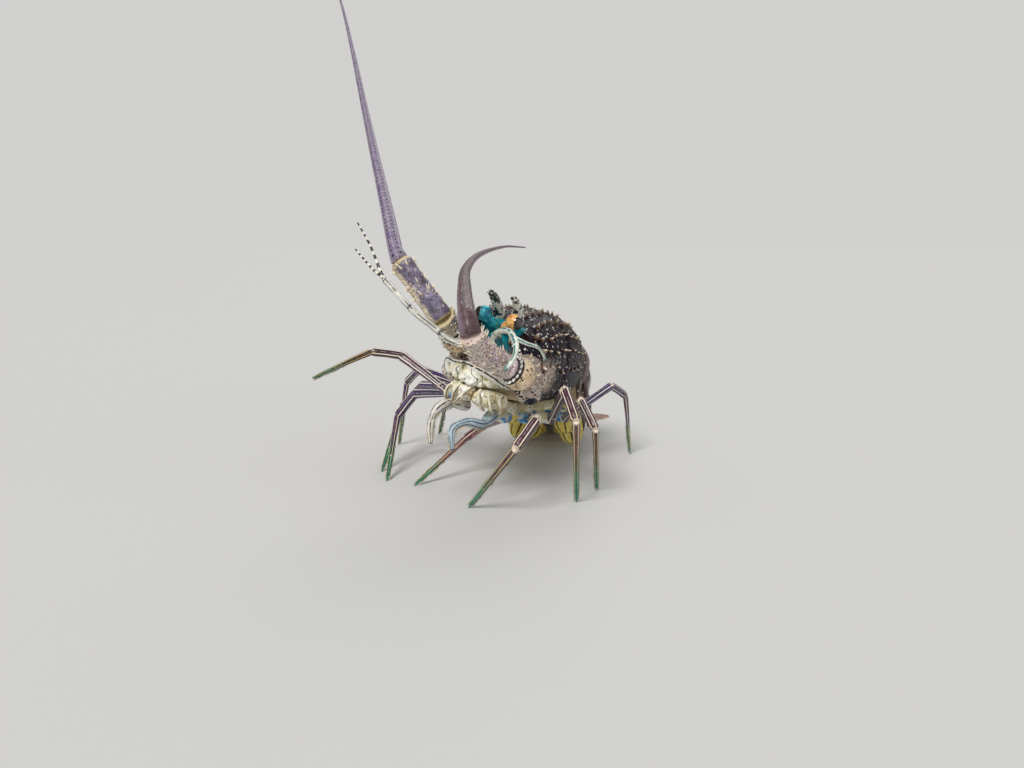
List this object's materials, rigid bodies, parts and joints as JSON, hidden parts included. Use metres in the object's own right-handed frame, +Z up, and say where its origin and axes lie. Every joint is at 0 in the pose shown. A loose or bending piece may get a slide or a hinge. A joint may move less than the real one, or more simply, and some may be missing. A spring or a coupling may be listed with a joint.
{
  "type": "spiny lobster model",
  "caption": "Life-size still model of a Caribbean-type spiny lobster standing on the floor, head turned, one front leg raised, long feelers swept back.",
  "frame": {"origin": "on the floor under the centre of the model's box", "axes": "+Z up; the head points towards -Y, turned a little towards -X, the tail towards +Y"},
  "size_m": [0.2249, 0.4029, 0.3524],
  "materials": {
    "carapace": "dark purple-brown shell with pale spots and light-tipped spines, satin",
    "face": "cream front plate with fine dark speckles, satin",
    "sternum": "cream-yellow speckled underside, satin",
    "horn": "horns banded in cream and near-black, glossy",
    "eye": "black cornea on an orange-yellow stalk, glossy",
    "antenna_stalk": "violet-grey above and cream below with light-tipped spines, satin",
    "antenna_whip": "violet-grey to brown-purple rings with rows of dark dots, satin",
    "antennule": "white with black lines and a teal base, satin",
    "mouthparts": "creamy yellow, satin",
    "leg": "near-black purple with cream stripes lengthwise, glossy",
    "abdomen": "dark red-brown rings with pale spots, satin",
    "tail_fan": "brown-orange ribbed fan with dark and pale bands, satin"
  },
  "bodies": {
    "root": {"antenna_left_stalk_a": "antenna_stalk", "antenna_left_stalk_b": "antenna_stalk", "antenna_left_stalk_c": "antenna_stalk", "antenna_left_whip_a": "antenna_whip", "antenna_left_whip_b": "antenna_whip", "antenna_left_whip_c": "antenna_whip", "antenna_right_stalk_a": "antenna_stalk", "antenna_right_stalk_b": "antenna_stalk", "antenna_right_stalk_c": "antenna_stalk", "antenna_right_whip_a": "antenna_whip", "antenna_right_whip_b": "antenna_whip", "antenna_right_whip_c": "antenna_whip", "antennule_left": "antennule", "antennule_right": "antennule", "carapace": "carapace", "eye_left": "eye", "eye_right": "eye", "face": "face", "horn_left": "horn", "horn_right": "horn", "leg_left_1_lower": "leg", "leg_left_1_upper": "leg", "leg_left_2_lower": "leg", "leg_left_2_upper": "leg", "leg_left_3_lower": "leg", "leg_left_3_upper": "leg", "leg_left_4_lower": "leg", "leg_left_4_upper": "leg", "leg_left_5_lower": "leg", "leg_left_5_upper": "leg", "leg_right_1_lower": "leg", "leg_right_1_upper": "leg", "leg_right_2_lower": "leg", "leg_right_2_upper": "leg", "leg_right_3_lower": "leg", "leg_right_3_upper": "leg", "leg_right_4_lower": "leg", "leg_right_4_upper": "leg", "leg_right_5_lower": "leg", "leg_right_5_upper": "leg", "mandible_left": "mouthparts", "mandible_right": "mouthparts", "maxilliped_left": "mouthparts", "maxilliped_right": "mouthparts", "somite_1": "abdomen", "somite_2": "abdomen", "somite_3": "abdomen", "somite_4": "abdomen", "somite_5": "abdomen", "somite_6": "abdomen", "sternum": "sternum", "telson": "tail_fan", "uropod_left_inner": "tail_fan", "uropod_left_outer": "tail_fan", "uropod_right_inner": "tail_fan", "uropod_right_outer": "tail_fan"}
  },
  "joints": []
}
